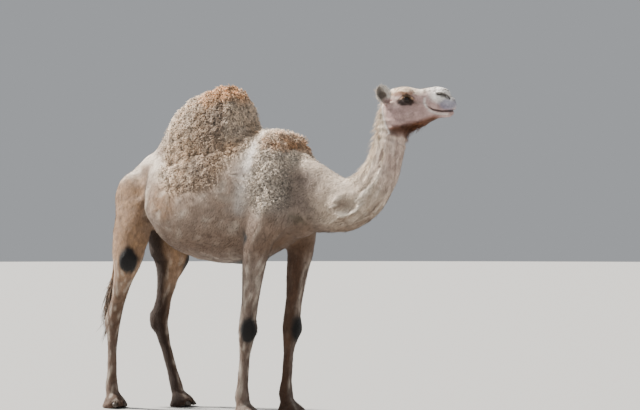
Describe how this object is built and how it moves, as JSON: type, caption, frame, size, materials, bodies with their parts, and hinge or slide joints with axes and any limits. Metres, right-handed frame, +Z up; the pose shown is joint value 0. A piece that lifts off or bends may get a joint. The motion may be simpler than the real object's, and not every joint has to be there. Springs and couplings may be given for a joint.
{
  "type": "dromedary camel",
  "caption": "Life-size still model of a dromedary camel standing with its head raised and turned slightly aside, for display on a floor or a base.",
  "frame": {"origin": "middle of the bottom of the whole camel's box, on the floor it stands on", "axes": "+X is the way the body faces, +Y the camel's left, +Z up"},
  "size_m": [2.6532, 0.7428, 2.1123],
  "materials": {
    "coat": "short pale tan hair, smooth on the flanks",
    "wool": "curled tan to brown wool",
    "tail_hair": "long dark brown hair",
    "eye": "wet, glossy, very dark brown",
    "nail": "dull dark horn"
  },
  "bodies": {
    "root": {"ear_left": "coat", "ear_right": "coat", "eye_left": "eye", "eye_right": "eye", "fore_cannon_left": "coat", "fore_cannon_right": "coat", "fore_nail_left_inner": "nail", "fore_nail_left_outer": "nail", "fore_nail_right_inner": "nail", "fore_nail_right_outer": "nail", "forearm_left": "coat", "forearm_right": "coat", "forefoot_left": "coat", "forefoot_right": "coat", "head": "coat", "hind_cannon_left": "coat", "hind_cannon_right": "coat", "hind_nail_left_inner": "nail", "hind_nail_left_outer": "nail", "hind_nail_right_inner": "nail", "hind_nail_right_outer": "nail", "hindfoot_left": "coat", "hindfoot_right": "coat", "hump": "wool", "neck_lower": "coat", "neck_upper": "coat", "shank_left": "coat", "shank_right": "coat", "shoulder_left": "coat", "shoulder_right": "coat", "tail_lower": "coat", "tail_tuft": "tail_hair", "tail_upper": "coat", "thigh_left": "coat", "thigh_right": "coat", "trunk": "coat"}
  },
  "joints": []
}
